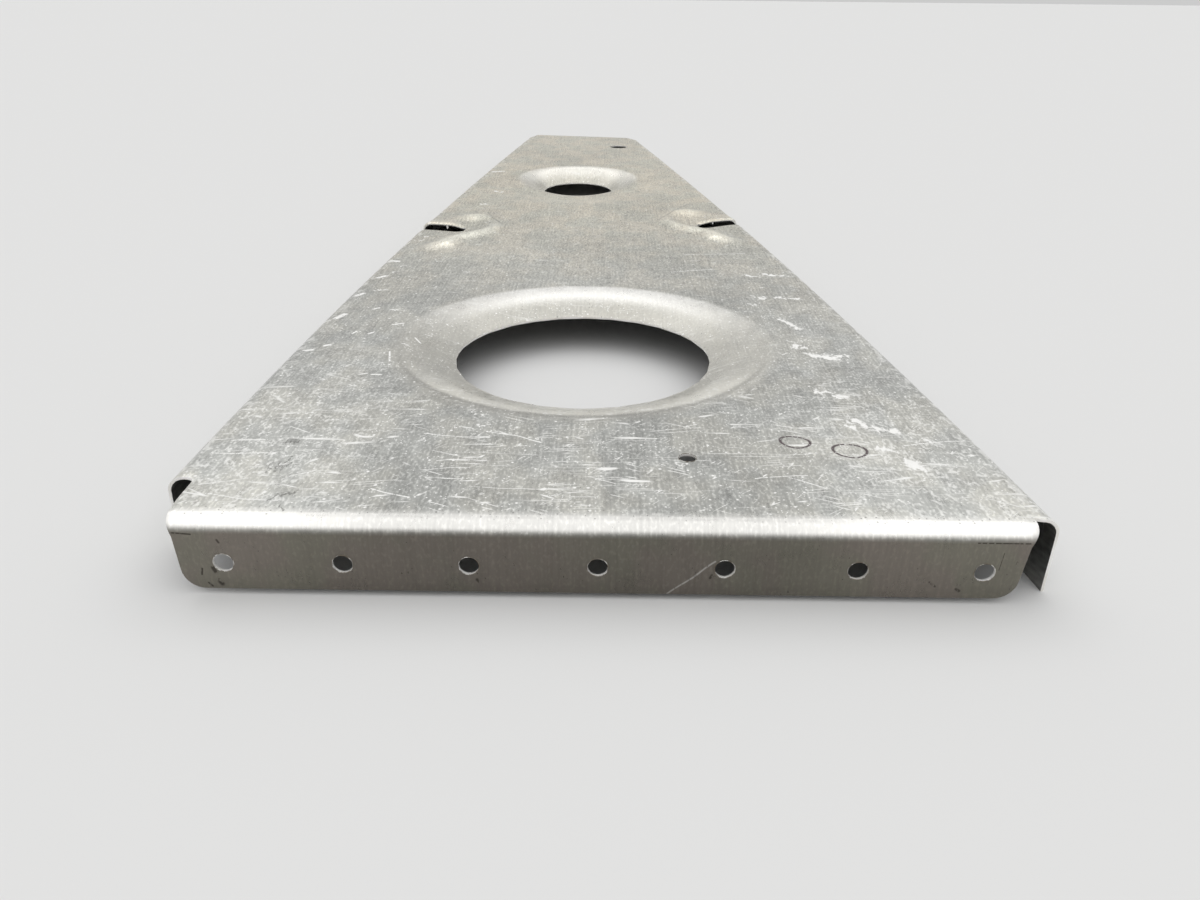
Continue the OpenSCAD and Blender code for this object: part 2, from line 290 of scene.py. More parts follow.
def side_chain(edge):
    """Outline of one side of the blank from its front to its aft end, as a right edge."""
    length = flange_length(SIDE_H)
    first, last = edge.angle(0, edge.start), edge.angle(1, edge.end)
    turns = np.linspace(first, edge.taper - NOTCH_W / edge.radii[0], SIDE_STEPS)
    front = [edge.flat_point(0, first, 0)] + [edge.flat_point(0, a, length) for a in turns]
    turns = np.linspace(edge.taper + NOTCH_W / edge.radii[1], last, SIDE_STEPS)
    aft = [edge.flat_point(1, a, length) for a in turns] + [edge.flat_point(1, last, 0)]
    return front + notch_chain(edge) + aft


def blank_outline():
    """The outline of the flat sheet before it is folded, going round to the left."""
    front = [np.array([x, BEND_R - s])
             for x, s in end_flange_chain(FRONT_LEFT, FRONT_RIGHT, FRONT_LEANS, FRONT_FLARES)]
    aft = [aft_point(x, s) for x, s in end_flange_chain(-AFT_HALF, AFT_HALF)]
    left = [LEFT.mirrored(p) for p in side_chain(LEFT)][::-1]
    relief_x = FRONT_LEFT - RELIEF_INSET
    relief = rounded([left[-1], np.array([relief_x, LEFT.start]), np.array([relief_x, 2 * BEND_R]), front[0]],
                     [0, RELIEF_R, BEND_R, 0])[1:-1]
    right_gap = [np.array([FRONT_RIGHT + RELIEF_INSET, RIGHT.start])]
    chain = front + right_gap + side_chain(RIGHT) + aft[::-1] + left + relief + [front[0]]
    return np.array(divided(chain, OUTLINE_STEP)[:-1])


def rivet_places():
    """Centres of the rivet holes in the flat blank."""
    line = BEND_ARC + RIVET_DROP - BEND_R
    places = [np.array([x, BEND_R - line]) for x in FRONT_RIVETS]
    places += [aft_point(k * RIVET_PITCH, line) for k in (-1, 0, 1)]
    for edge in SIDES:
        notch_y = edge.joint[1]
        for aft, y0, y1 in ((0, edge.start, notch_y - NOTCH_W), (1, notch_y + NOTCH_W, edge.end)):
            count = int((y1 - y0 - 2 * RIVET_MARGIN) // RIVET_PITCH) + 1
            middle = edge.angle(aft, (y0 + y1) / 2)
            for k in range(count):
                angle = middle + RIVET_PITCH / edge.radii[aft] * (k - (count - 1) / 2)
                places.append(edge.mirrored(edge.flat_point(aft, angle, line)))
    return places


def blank_holes():
    """Each hole in the blank: its centre, its radius and how many points go round it."""
    holes = [(LARGE.centre, LARGE.hole_r, 160), (SMALL.centre, SMALL.hole_r, 96)]
    holes += [(TOOLING_HOLE, TOOLING_R, 32), (TAIL_HOLE, TAIL_R, 48)]
    return holes + [(p, RIVET_R, 28) for p in rivet_places()]


def side_frame(edge, flat):
    """How far points of the blank lie past a side's bend, with where and in which direction to fold them."""
    points = edge.mirrored(flat)
    angle = np.arctan2(*(points - edge.centre(0)).T[::-1])
    aft = angle > edge.taper
    centre = np.where(aft[:, None], edge.centre(1), edge.centre(0))
    start = np.where(aft, edge.radii[1], edge.radii[0]) - BEND_R
    reach = lengths(points - centre)
    return reach - start, centre, (points - centre) / reach[:, None], start


def notch_frame(edge, flat):
    """Points in the frame of a notch: X out of the flange's face, Y aft along the edge."""
    return turned(edge.mirrored(flat) - edge.joint, -edge.taper)


def dimple_drop(flat, dimple):
    """How far the sheet is pressed down round a lightening hole."""
    inside = np.clip(dimple.reach() - lengths(flat - dimple.centre), 0, dimple.width)
    bend = dimple.bend_r * math.sin(dimple.slope)
    curved = dimple.bend_r - np.sqrt(dimple.bend_r ** 2 - np.minimum(inside, bend) ** 2)
    return curved + np.maximum(inside - bend, 0) * math.tan(dimple.slope)


def web_sag(flat):
    """How far the web has sunk in front of the small hole."""
    x, y = flat.T
    sinking, rising = (y - SAG_START) / (SAG_LOW - SAG_START), (SAG_END - y) / (SAG_END - SAG_LOW)
    along = swell(np.where(y < SAG_LOW, sinking, rising))
    return SAG * along * swell(1 - np.abs(x - SMALL.centre[0]) / SAG_HALF)


def rim_rise(flat, edge):
    """How far the sheet is pressed up in the rim round a notch, and down at the notch's inner end."""
    local = notch_frame(edge, flat)
    nearest, rise = np.full(len(flat), np.inf), np.zeros(len(flat))
    for a, b, low, high in zip(RIM_PATH[:-1], RIM_PATH[1:], RIM_HEIGHTS[:-1], RIM_HEIGHTS[1:]):
        share = np.clip((local - a) @ (b - a) / ((b - a) @ (b - a)), 0, 1)
        offset = local - a - share[:, None] * (b - a)
        away = lengths(offset)
        outer = (b - a)[0] * offset[:, 1] - (b - a)[1] * offset[:, 0] > 0
        height = (low + (high - low) * share) * swell(1 - away / np.where(outer, RIM_OUTER_W, RIM_INNER_W))
        closer = away < nearest
        rise[closer], nearest[closer] = height[closer], away[closer]
    end = turned(np.array([-NOTCH_DEPTH, 0.0]), edge.notch_turn)
    dip = edge.notch_dip * np.exp(-(lengths(local - end) / DIP_R) ** 2)
    mound = MOUND * np.exp(-(lengths(local - MOUND_AT) / MOUND_R) ** 2)
    past_notch = np.maximum(local[:, 1] - local[:, 0] * math.tan(edge.notch_turn), 0)
    lip = edge.notch_lip * swell((local[:, 0] + NOTCH_DEPTH) / LIP_RUN) * np.exp(-(past_notch / LIP_W) ** 2)
    from_wall = (past_notch - NOTCH_W / 2 / math.cos(edge.notch_turn)) / CURL_W
    curl = CURL * swell((local[:, 0] + NOTCH_DEPTH) / CURL_RUN) * np.clip(1 - from_wall, 0, 1) ** 2
    behind = np.where(past_notch > 0, lip - curl, 0)
    return (np.maximum(rise, mound) - dip) * swell((-BEND_R - local[:, 0]) / RIM_FADE_W) + behind


def gaps(points, others):
    """How far each point lies from the nearest of the others."""
    tree = KDTree(len(others))
    for i, (x, y) in enumerate(others):
        tree.insert((x, y, 0), i)
    tree.balance()
    return np.array([tree.find((x, y, 0))[2] for x, y in points])


def sheet_points(outline, holes):
    """Points inside the blank: rows across the bends, rings round the holes, and an even spread elsewhere."""
    rows = []
    for past in np.linspace(0, BEND_ARC, BEND_ROWS + 1):
        rows += [(x, BEND_R - past) for x in np.arange(FRONT_LEFT, FRONT_RIGHT, WEB_STEP)]
        rows += [aft_point(x, past) for x in np.arange(-AFT_HALF, AFT_HALF, WEB_STEP)]
        for edge in SIDES:
            for aft, y0, y1 in ((0, edge.start, edge.joint[1]), (1, edge.joint[1], edge.end)):
                for y in np.arange(y0, y1, WEB_STEP):
                    rows.append(edge.mirrored(edge.flat_point(aft, edge.angle(aft, y), past)))
    for (centre, radius, count), dimple in zip(holes, DIMPLES):
        for reach in np.linspace(radius, dimple.reach(), DIMPLE_ROWS)[1:]:
            rows += list(circle(centre, reach, count))
    for centre, radius, count in holes[len(DIMPLES):]:
        for share in HOLE_RINGS:
            rows += list(circle(centre, radius * share, count))
    for edge in SIDES:
        for past in np.linspace(0, CURL_W, CURL_ROWS)[1:]:
            xs = np.arange(CURL_START - NOTCH_DEPTH, -BEND_R, FINE_STEP / 2)
            row = [(x, NOTCH_W / 2 + past) for x in xs]
            row = edge.joint + turned(turned(row, edge.notch_turn), edge.taper)
            rows += list(edge.mirrored(row))
    low, high = outline.min(0), outline.max(0)
    rim_low, rim_aft = RIM_PATH.min(0) - 2 * WEB_STEP - RIM_OUTER_W, RIM_PATH[:, 1].max() + RIM_OUTER_W
    for step, fine in ((FINE_STEP, True), (WEB_STEP, False)):
        ys = np.arange(low[1], high[1], step * math.sqrt(3) / 2)
        xs = np.arange(low[0], high[0], step)
        grid = np.array([(x + step / 2 * (k % 2), y) for k, y in enumerate(ys) for x in xs])
        near = np.zeros(len(grid), bool)
        for edge in SIDES:
            local = notch_frame(edge, grid)
            in_rim = (local > rim_low).all(1) & (local[:, 1] < rim_aft)
            near |= in_rim & (side_frame(edge, grid)[0] < 0)
        grid = grid[near == fine]
        rows += list(grid[gaps(grid, rows) > POINT_GAP * step])
    return np.array(rows)


def inside_outline(points, outline):
    """Which points lie inside the outline, by counting the edges that a line to the right crosses."""
    inside = np.zeros(len(points), bool)
    x, y = points.T
    for (x0, y0), (x1, y1) in zip(outline, np.roll(outline, -1, axis=0)):
        if y0 != y1:
            crosses = ((y0 > y) != (y1 > y)) & (x < (x1 - x0) * (y - y0) / (y1 - y0) + x0)
            inside ^= crosses
    return inside


def cut_blank():
    """The flat sheet as points and triangles, with its holes and notches cut."""
    outline = blank_outline()
    holes = blank_holes()
    points = sheet_points(outline, holes)
    points = points[inside_outline(points, outline)]
    rims = [circle(*hole) for hole in holes]
    border = np.concatenate([outline] + rims)
    clear = gaps(points, border) > EDGE_GAP
    for centre, radius, _ in holes:
        clear &= lengths(points - centre) > radius
    points = np.concatenate([border, points[clear]])
    joins, start = [], 0
    for loop in [outline] + rims:
        count = len(loop)
        joins += [(start + k, start + (k + 1) % count) for k in range(count)]
        start += count
    made = delaunay_2d_cdt([Vector(p) for p in points], joins, [], 1, SAME_POINT)
    flat = np.array([tuple(p) for p in made[0]])
    triangles = np.array([f for f in made[2] if len(f) == 3])
    middles = flat[triangles].mean(1)
    keep = inside_outline(middles, outline)
    for centre, radius, _ in holes:
        keep &= lengths(middles - centre) > radius * CUT_SHARE
    triangles = triangles[keep]
    used = np.unique(triangles)
    place = np.zeros(len(flat), int)
    place[used] = np.arange(len(used))
    return flat[used], place[triangles]


def fold_blank(flat):
    """The outer face of the folded and pressed sheet, in the rib's own millimetres."""
    plan, height = flat.copy(), np.zeros(len(flat))
    height -= web_sag(flat)
    for dimple in DIMPLES:
        height -= dimple_drop(flat, dimple)
    for edge in SIDES:
        height += rim_rise(flat, edge)
    front = np.maximum(BEND_R - flat[:, 1], 0)
    out, down = folded(front)
    plan[:, 1] += front - out
    height -= down
    aft = np.maximum((flat - AFT_MIDDLE) @ AFT_OUT + BEND_R, 0)
    out, down = folded(aft)
    plan -= (aft - out)[:, None] * AFT_OUT
    height -= down
    for edge in SIDES:
        past, centre, direction, start = side_frame(edge, flat)
        side = (past > 0) & (front == 0) & (aft == 0)
        out, down = folded(np.maximum(past, 0))
        moved = edge.mirrored(centre + direction * (start + out)[:, None])
        plan[side] = moved[side]
        height[side] -= down[side]
    return np.column_stack([plan, height])


def fold_share(flat):
    """How near each point of the blank is to a long edge's bend: 1 on it, falling to 0 beside it."""
    away = [np.abs(side_frame(edge, flat)[0] - BEND_ARC / 3) for edge in SIDES]
    return swell(1 - np.minimum(*away) / FOLD_REACH)


def crest_highlight_share(flat):
    """How near each point of the blank is to the crest of a notch's pressed rim, where a highlight is
    painted.
    """
    return swell(np.maximum(*[rim_rise(flat, edge) for edge in SIDES]) / RIM_HEIGHTS.max())


def set_up(thing, **settings):
    for name, value in settings.items():
        setattr(thing, name, value)


def placed(name, data):
    """A new object in the scene."""
    made = bpy.data.objects.new(name, data)
    bpy.context.scene.collection.objects.link(made)
    return made


def make_plain(piece):
    """Turns a piece with its modifiers into a plain mesh of the same name."""
    drawn, name = piece.data, piece.data.name
    finished = bpy.data.meshes.new_from_object(piece.evaluated_get(bpy.context.evaluated_depsgraph_get()))
    piece.modifiers.clear()
    piece.data = finished
    bpy.data.meshes.remove(drawn)
    finished.name = name


def make_rib_sheet(materials):
    """The rib as one sheet with thickness: outer face, inner face and cut edges in their own finishes."""
    flat, triangles = cut_blank()
    places = (fold_blank(flat) + TO_FRAME) * MM
    mesh = bpy.data.meshes.new("rib_sheet")
    mesh.from_pydata(places.tolist(), [], triangles.tolist())
    layer = mesh.uv_layers.new(name="blank")
    corners = np.zeros(len(mesh.loops), int)
    mesh.loops.foreach_get("vertex_index", corners)
    layer.uv.foreach_set("vector", (flat[corners] * MM).astype(np.float32).ravel())
    for name, share in (("fold", fold_share(flat)), ("crest", crest_highlight_share(flat))):
        mesh.attributes.new(name, "FLOAT", "POINT").data.foreach_set("value", share.astype(np.float32))
    for material in materials:
        mesh.materials.append(material)
    mesh.shade_smooth()
    sheet = placed("rib_sheet", mesh)
    set_up(sheet.modifiers.new("thickness", "SOLIDIFY"), thickness=SHEET_T * MM, offset=-1,
           use_even_offset=True, material_offset=1, material_offset_rim=2)
    set_up(sheet.modifiers.new("worn_edges", "BEVEL"), width=WEAR_R * MM, segments=2,
           limit_method="ANGLE", angle_limit=WEAR_ANGLE, material=2)
    make_plain(sheet)
    sheet.data.set_sharp_from_angle(angle=SHARP_ANGLE)
    return sheet


def face_turns(flat):
    """The direction that the outer face points in at each place of the blank."""
    step = 0.05
    along = fold_blank(flat + (step, 0)) - fold_blank(flat - (step, 0))
    across = fold_blank(flat + (0, step)) - fold_blank(flat - (0, step))
    normals = np.cross(along, across)
    return normals / lengths(normals)[:, None]


class Nodes:
    """Adds nodes to a tree and joins them; a call that adds a node gives its output."""

    def __init__(self, tree):
        self.tree = tree

    def add(self, kind, inputs, out=0, **settings):
        made = self.tree.nodes.new(kind)
        set_up(made, **settings)
        self.feed(made.inputs, inputs)
        return made.outputs[out]

    def feed(self, inputs, values):
        """Joins each output to the input of that name, or sets the input to a plain value."""
        for key, value in values.items():
            if isinstance(value, bpy.types.NodeSocket):
                self.tree.links.new(value, inputs[key])
            else:
                inputs[key].default_value = value

    def math(self, operation, *values):
        return self.add("ShaderNodeMath", dict(enumerate(values)), operation=operation)

    def vector(self, operation, *values, out=0):
        return self.add("ShaderNodeVectorMath", dict(enumerate(values)), out, operation=operation)

    def scaled(self, place, amount):
        return self.add("ShaderNodeVectorMath", {"Vector": place, "Scale": amount}, operation="SCALE")

    def between(self, value, low, high):
        """A smooth 0 to 1 as the value goes from low to high."""
        return self.add("ShaderNodeMapRange", {"Value": value, "From Min": low, "From Max": high},
                        interpolation_type="SMOOTHSTEP")

    def where(self, *ranges):
        """A mask that is full where each value has passed from the start to the end of its range."""
        return self.product(*[self.between(*limits) for limits in ranges])

    def spread(self, value, low, high):
        """Low to high as the value goes from 0.25 to 0.75, where most of a noise lies."""
        return self.add("ShaderNodeMapRange", {"Value": value, "From Min": 0.25, "From Max": 0.75,
                                               "To Min": low, "To Max": high})

    def swing(self, value, amount):
        """A noise as a value about 0, by up to this amount either way."""
        return self.spread(value, -amount, amount)

    def fade(self, value, first, last):
        """First to last as the value goes from 0 to 1."""
        return self.add("ShaderNodeMapRange", {"Value": value, "To Min": first, "To Max": last})

    def noise(self, place, width, length, detail=2.0):
        """Noise whose patches are about this wide across the rib and this long along it."""
        inputs = {"Vector": self.vector("DIVIDE", place, (width, length, 1)), "Scale": 1, "Detail": detail}
        return self.add("ShaderNodeTexNoise", inputs, noise_dimensions="2D")

    def mix(self, share, first, second, blend="MIX"):
        inputs = {0: share, 6: first, 7: second}
        return self.add("ShaderNodeMix", inputs, out=2, data_type="RGBA", blend_type=blend)

    def toned(self, colour, tone):
        """The colour made lighter or darker; a tone of 1 leaves it as it is."""
        grey = self.add("ShaderNodeCombineColor", {"Red": tone, "Green": tone, "Blue": tone})
        return self.mix(1.0, colour, grey, "MULTIPLY")

    def bumps(self, height, strength, depth):
        """A surface made uneven, this deep in millimetres."""
        return self.add("ShaderNodeBump", {"Strength": strength, "Distance": depth * MM, "Height": height})

    def chain(self, operation, values):
        return reduce(lambda first, other: self.math(operation, first, other), values)

    def total(self, *values):
        return self.chain("ADD", values)

    def product(self, *values):
        return self.chain("MULTIPLY", values)

    def strongest(self, *values):
        return self.chain("MAXIMUM", values)

    def mask(self, group, **inputs):
        """The mask of one of the shared effects."""
        return self.add("ShaderNodeGroup", inputs, node_tree=group)


def new_tree(name, kind, inputs, output, output_kind):
    """A tree of nodes with its inputs, listed by kind, and one output."""
    tree = bpy.data.node_groups.new(name, kind)
    for input_kind, labels in inputs.items():
        for label in labels:
            tree.interface.new_socket(label, in_out="INPUT", socket_type="NodeSocket" + input_kind)
    tree.interface.new_socket(output, in_out="OUTPUT", socket_type="NodeSocket" + output_kind)
    return tree, tree.nodes.new("NodeGroupInput").outputs, tree.nodes.new("NodeGroupOutput").inputs


def burr_rings_tree():
    """A tree of nodes that puts an uneven ring of burr round each hole, facing as the sheet does there."""
    tree, given, result = new_tree("burr_rings", "GeometryNodeTree", {
        "Geometry": ["Holes"], "Float": ["Hole radius", "Burr size"], "Int": ["Seed"], "Material": ["Metal"]},
        "Burrs", "Geometry")
    n = Nodes(tree)
    path = n.add("GeometryNodeCurvePrimitiveCircle", {
        "Resolution": BURR_STEPS, "Radius": given["Hole radius"]})
    section = n.add("GeometryNodeCurvePrimitiveCircle", {
        "Resolution": BURR_SECTION_STEPS, "Radius": given["Burr size"]})
    ring = n.add("GeometryNodeCurveToMesh", {"Curve": path, "Profile Curve": section})
    waves = n.add("ShaderNodeTexNoise", {"Scale": BURR_WAVES / MM, "Detail": 1.0})
    swelling = n.product(n.math("SUBTRACT", waves, 0.5), given["Burr size"], BURR_SWELL)
    ring = n.add("GeometryNodeSetPosition", {
        "Geometry": ring, "Offset": n.scaled(n.add("GeometryNodeInputNormal", {}), swelling)})
    ring = n.add("GeometryNodeSetShadeSmooth", {"Geometry": ring})
    facing = n.add("GeometryNodeInputNamedAttribute", {"Name": "facing"}, data_type="FLOAT_VECTOR")
    turn = n.add("FunctionNodeAlignRotationToVector", {"Vector": facing}, axis="Z")
    spin = n.add("FunctionNodeRandomValue", {2: 0.0, 3: 2 * math.pi, "Seed": given["Seed"]}, out=1,
                 data_type="FLOAT")
    spin = n.add("FunctionNodeAxisAngleToRotation", {"Axis": (0, 0, 1), "Angle": spin})
    turn = n.add("FunctionNodeRotateRotation", {"Rotation": turn, "Rotate By": spin}, rotation_space="LOCAL")
    rings = n.add("GeometryNodeInstanceOnPoints", {
        "Points": given["Holes"], "Instance": ring, "Rotation": turn})
    rings = n.add("GeometryNodeRealizeInstances", {"Geometry": rings})
    rings = n.add("GeometryNodeSetMaterial", {"Geometry": rings, "Material": given["Metal"]})
    n.feed(result, {"Burrs": rings})
    return tree


def make_burrs(metal):
    """The thin burrs that drilling left round the rivet holes and the tooling hole."""
    holes = np.array(rivet_places() + [TOOLING_HOLE])
    mesh = bpy.data.meshes.new("rivet_hole_burrs")
    mesh.from_pydata(((fold_blank(holes) + TO_FRAME) * MM).tolist(), [], [])
    facing = mesh.attributes.new("facing", "FLOAT_VECTOR", "POINT")
    facing.data.foreach_set("vector", face_turns(holes).astype(np.float32).ravel())
    burrs = placed("rivet_hole_burrs", mesh)
    rings = burrs.modifiers.new("rings", "NODES")
    rings.node_group = burr_rings_tree()
    values = {"Hole radius": (RIVET_R + BURR_GAP) * MM, "Burr size": BURR_SIZE * MM,
              "Seed": BURR_SEED, "Metal": metal}
    for item in rings.node_group.interface.items_tree:
        if item.name in values:
            rings[item.identifier] = values[item.name]
    make_plain(burrs)
    return burrs


def make_effect(name, build, places, values):
    """A shared effect: a node group that turns a place on the blank into a mask."""
    inputs = {"Vector": places, "Float": values}
    tree, given, result = new_tree(name, "ShaderNodeTree", inputs, "Mask", "Float")
    n = Nodes(tree)
    n.feed(result, {"Mask": build(n, given)})
    return tree


# Hairlines come in patches this large against their own length and gap, with edges this soft
LINE_PATCH, LINE_PATCH_EDGE = (0.22, 1.6), 0.1
# The smallest speck against the largest
SMALLEST_SPECK = 0.35
# How much of a mark's radius or half width is fully covered, inside its soft edge
SPECK_CORE, STROKE_CORE, RING_CORE = 0.4, 0.25, 0.3


def build_hairlines(n, given):
    """Fine lines that run one way, in patches."""
    inputs = {"Vector": given["Place"], "Angle": given["Angle"]}
    turned_place = n.add("ShaderNodeVectorRotate", inputs, rotation_type="Z_AXIS")
    size = n.add("ShaderNodeCombineXYZ", {"X": given["Length"], "Y": given["Gap"], "Z": 1.0})
    lines = n.noise(n.vector("DIVIDE", turned_place, size), 1, 1, 0)
    off_line = n.math("ABSOLUTE", n.math("SUBTRACT", lines, 0.5))
    thin = n.between(off_line, given["Width"], 0)
    patches = n.noise(n.vector("DIVIDE", turned_place, size), *LINE_PATCH, 1)
    limit = n.math("SUBTRACT", 1, given["Share"])
    return n.product(thin, n.between(patches, limit, n.math("ADD", limit, LINE_PATCH_EDGE)))


def build_specks(n, given):
    """Round specks of mixed size, of which only a share is there."""
    cells = n.scaled(given["Place"], n.math("DIVIDE", 1, given["Spacing"]))
    spots = n.add("ShaderNodeTexVoronoi", {"Vector": cells, "Scale": 1}, voronoi_dimensions="2D").node
    luck = n.add("ShaderNodeSeparateColor", {"Color": spots.outputs["Color"]}).node.outputs
    radius = n.product(given["Size"], n.fade(luck["Green"], SMALLEST_SPECK, 1.0))
    reach = n.product(spots.outputs["Distance"], given["Spacing"])
    chosen = n.math("LESS_THAN", luck["Red"], given["Share"])
    return n.product(chosen, n.between(reach, radius, n.product(radius, SPECK_CORE)))


def build_stroke(n, given):
    """A straight stroke with soft edges and round ends."""
    run = n.vector("SUBTRACT", given["End"], given["Start"])
    from_start = n.vector("SUBTRACT", given["Place"], given["Start"])
    share = n.math("DIVIDE", n.vector("DOT_PRODUCT", from_start, run, out=1),
                   n.vector("DOT_PRODUCT", run, run, out=1))
    share = n.add("ShaderNodeClamp", {"Value": share})
    away = n.vector("LENGTH", n.vector("SUBTRACT", from_start, n.scaled(run, share)), out=1)
    return n.between(away, given["Width"], n.product(given["Width"], STROKE_CORE))


def build_ring(n, given):
    """A ring drawn with one line."""
    away = n.vector("LENGTH", n.vector("SUBTRACT", given["Place"], given["Centre"]), out=1)
    off_ring = n.math("ABSOLUTE", n.math("SUBTRACT", away, given["Radius"]))
    return n.between(off_ring, given["Width"], n.product(given["Width"], RING_CORE))


HAIRLINES = make_effect("hairlines", build_hairlines, ["Place"], ["Angle", "Length", "Gap", "Width", "Share"])
SPECKS = make_effect("specks", build_specks, ["Place"], ["Spacing", "Size", "Share"])
STROKE = make_effect("stroke", build_stroke, ["Place", "Start", "End"], ["Width"])
RING = make_effect("ring", build_ring, ["Place", "Centre"], ["Radius", "Width"])

# Single scratches, on the blank in millimetres: X and Y of start and end, and half the width
SCRATCHES = (
    (-87, 28.9, -72.7, 29.7, 0.22), (-47.7, 12.4, -39.1, 9.7, 0.28), (-35.9, 27.1, -25.4, 28.1, 0.25),
    (-84, 14, -74.8, 18.2, 0.2), (-41.6, 41.3, -26.3, 39, 0.22), (-26.4, 42.3, -14, 37.3, 0.25),
    (-66.3, 18.8, -61.7, 21.2, 0.2), (-81, 10.3, -65.4, 9.4, 0.2), (-84.9, 35.2, -77.5, 36, 0.3),
    (33, 19.3, 44.4, 20.9, 0.25), (40.3, 19.5, 47.1, 15.3, 0.22), (-39.1, 21.9, -28.6, 24, 0.18),
    (69.8, 36.5, 90, 39.5, 0.25), (25, 179, 40.7, 184, 0.35), (31.3, 204, 56, 209.5, 0.35),
    (-27, 14.6, -9, 16, 0.16), (13.7, -14.8, 22.9, -7.1, 0.25),
)
# Short chips along the left edge
CHIPS = (
    (-82.7, 191, -79.5, 191.1, 1.5), (-81.9, 166.2, -79.7, 168.6, 1.5), (-84.3, 144.1, -82.6, 146.5, 1.3),
    (-84.8, 122, -83, 126.1, 1.5), (-81.2, 97.7, -80, 98.6, 0.9), (-86, 93.7, -83.9, 94.4, 0.9),
    (-65.4, 77.7, -64, 78.5, 0.6), (-62.4, 77.4, -60, 76.5, 0.6), (-61.4, 95.2, -59.8, 87.1, 0.4),
    (-65.5, 117.7, -62.6, 119.3, 0.7), (-70.9, 108.5, -70, 109.9, 0.7), (-56.7, 109, -54.6, 105.7, 0.4),
    (-75.2, 131.9, -73.5, 133.4, 0.7), (-69.4, 132.2, -66.7, 133.1, 0.7),
    (-75.9, 108.3, -75.2, 110.2, 0.6),
)
# White scuffs along the right edge and by the notches; the last two, by the left notch's pressed rim, are
# painted highlights
SCUFFS_AND_GLINTS = (
    (51.7, 176.4, 56, 175.2, 1.6), (58.4, 179.3, 67, 177, 2.08), (52.5, 151.6, 54.8, 150.6, 1.44),
    (61, 150.8, 66.6, 147.6, 1.92), (55.5, 128.1, 60.9, 117.6, 1.76), (57, 103.1, 59.2, 99, 1.44),
    (60.1, 94.9, 70.2, 93.7, 1.92), (58.5, 68.4, 63, 66.6, 1.44), (62.4, 50.5, 66.2, 42.8, 1.6),
    (59.4, 48.1, 64.1, 43.8, 1.6), (64.1, 43.8, 70.5, 44.5, 1.6), (56.7, 67.7, 61.8, 64.6, 1.76),
    (67.6, 29, 70.7, 24.8, 1.6), (64, 36.4, 66.6, 33.4, 1.44), (75.4, 39.8, 77.9, 36.8, 1.28),
    (-65, 388, -60, 391.7, 1.92), (-57.5, 334.4, -54.9, 334.5, 1.92), (-60.5, 298, -58.6, 298.6, 1.44),
    (-52.6, 260, -51.6, 260.4, 1.12),
)
# Faint dark smudges at the front left corner
SMUDGES = (
    (-67, 8.2, -62.9, 11.4, 0.9), (-64.8, 5.8, -63.4, 7.6, 0.8), (-71.8, 33, -70.6, 35.1, 1.6),
    (-70.2, 24.3, -70.4, 19.6, 0.7), (-68.6, 28.1, -69.1, 22.9, 0.7),
)
# Dark blots on the front flange, and the line under its bend
BLOTS = (
    (22.1, -10.3, 22.4, -9.6, 0.4), (-77.4, -9.4, -77, -10.3, 0.7), (-76.7, -12.4, -76.2, -13.2, 0.75),
    (-79.6, -9.6, -79.9, -11, 0.3), (-78.9, -13, -78.2, -13.8, 0.3), (71.6, -12.2, 72.2, -12.6, 0.5),
    (-24.6, -11.4, -24.2, -11.9, 0.5), (66, -10.6, 67.2, -11.6, 0.35), (74, -1.3, 84.2, -1.3, 0.2),
    (-84.6, -1.3, -80.5, -1.6, 0.25), (-75.5, -2.8, -75.2, -3.4, 0.35), (79.5, -3.5, 79.2, -7.5, 0.12),
)
# Painted shade: dark strokes along fine creases beside the notches' pressed rims
CREASE_SHADE_STROKES = (
    (-47, 254.5, -52.4, 266, 0.9), (-52.4, 266, -55.5, 277, 0.8), (24.3, 267, 32.3, 284, 0.5),
    (32.3, 284, 40.5, 304, 0.5),
)
# Plain inked inspection rings: X and Y of the centre, and radius; half the line's width
RINGS, RING_LINE = ((44.8, 38.9, 3.4), (56.5, 34.9, 3.8)), 0.55
# Hairlines over the web: direction, length, gap, and how much of the sheet has them. They are drawn where
# a noise comes this near its middle value
HAIRLINE_SETS = ((0.03, 60, 1.6, 0.44), (-0.16, 45, 2.0, 0.42), (0.45, 40, 3.0, 0.38), (-0.8, 16, 1.6, 0.4))
HAIRLINE_W = 0.043


def new_material(name):
    """A material with its nodes and the inputs of its shader."""
    material = bpy.data.materials.new(name)
    material.use_nodes = True
    return material, Nodes(material.node_tree), material.node_tree.nodes["Principled BSDF"].inputs


def blank_place(n):
    """The place on the flat blank, in millimetres."""
    return n.scaled(n.add("ShaderNodeUVMap", {}, uv_map="blank"), 1 / MM)


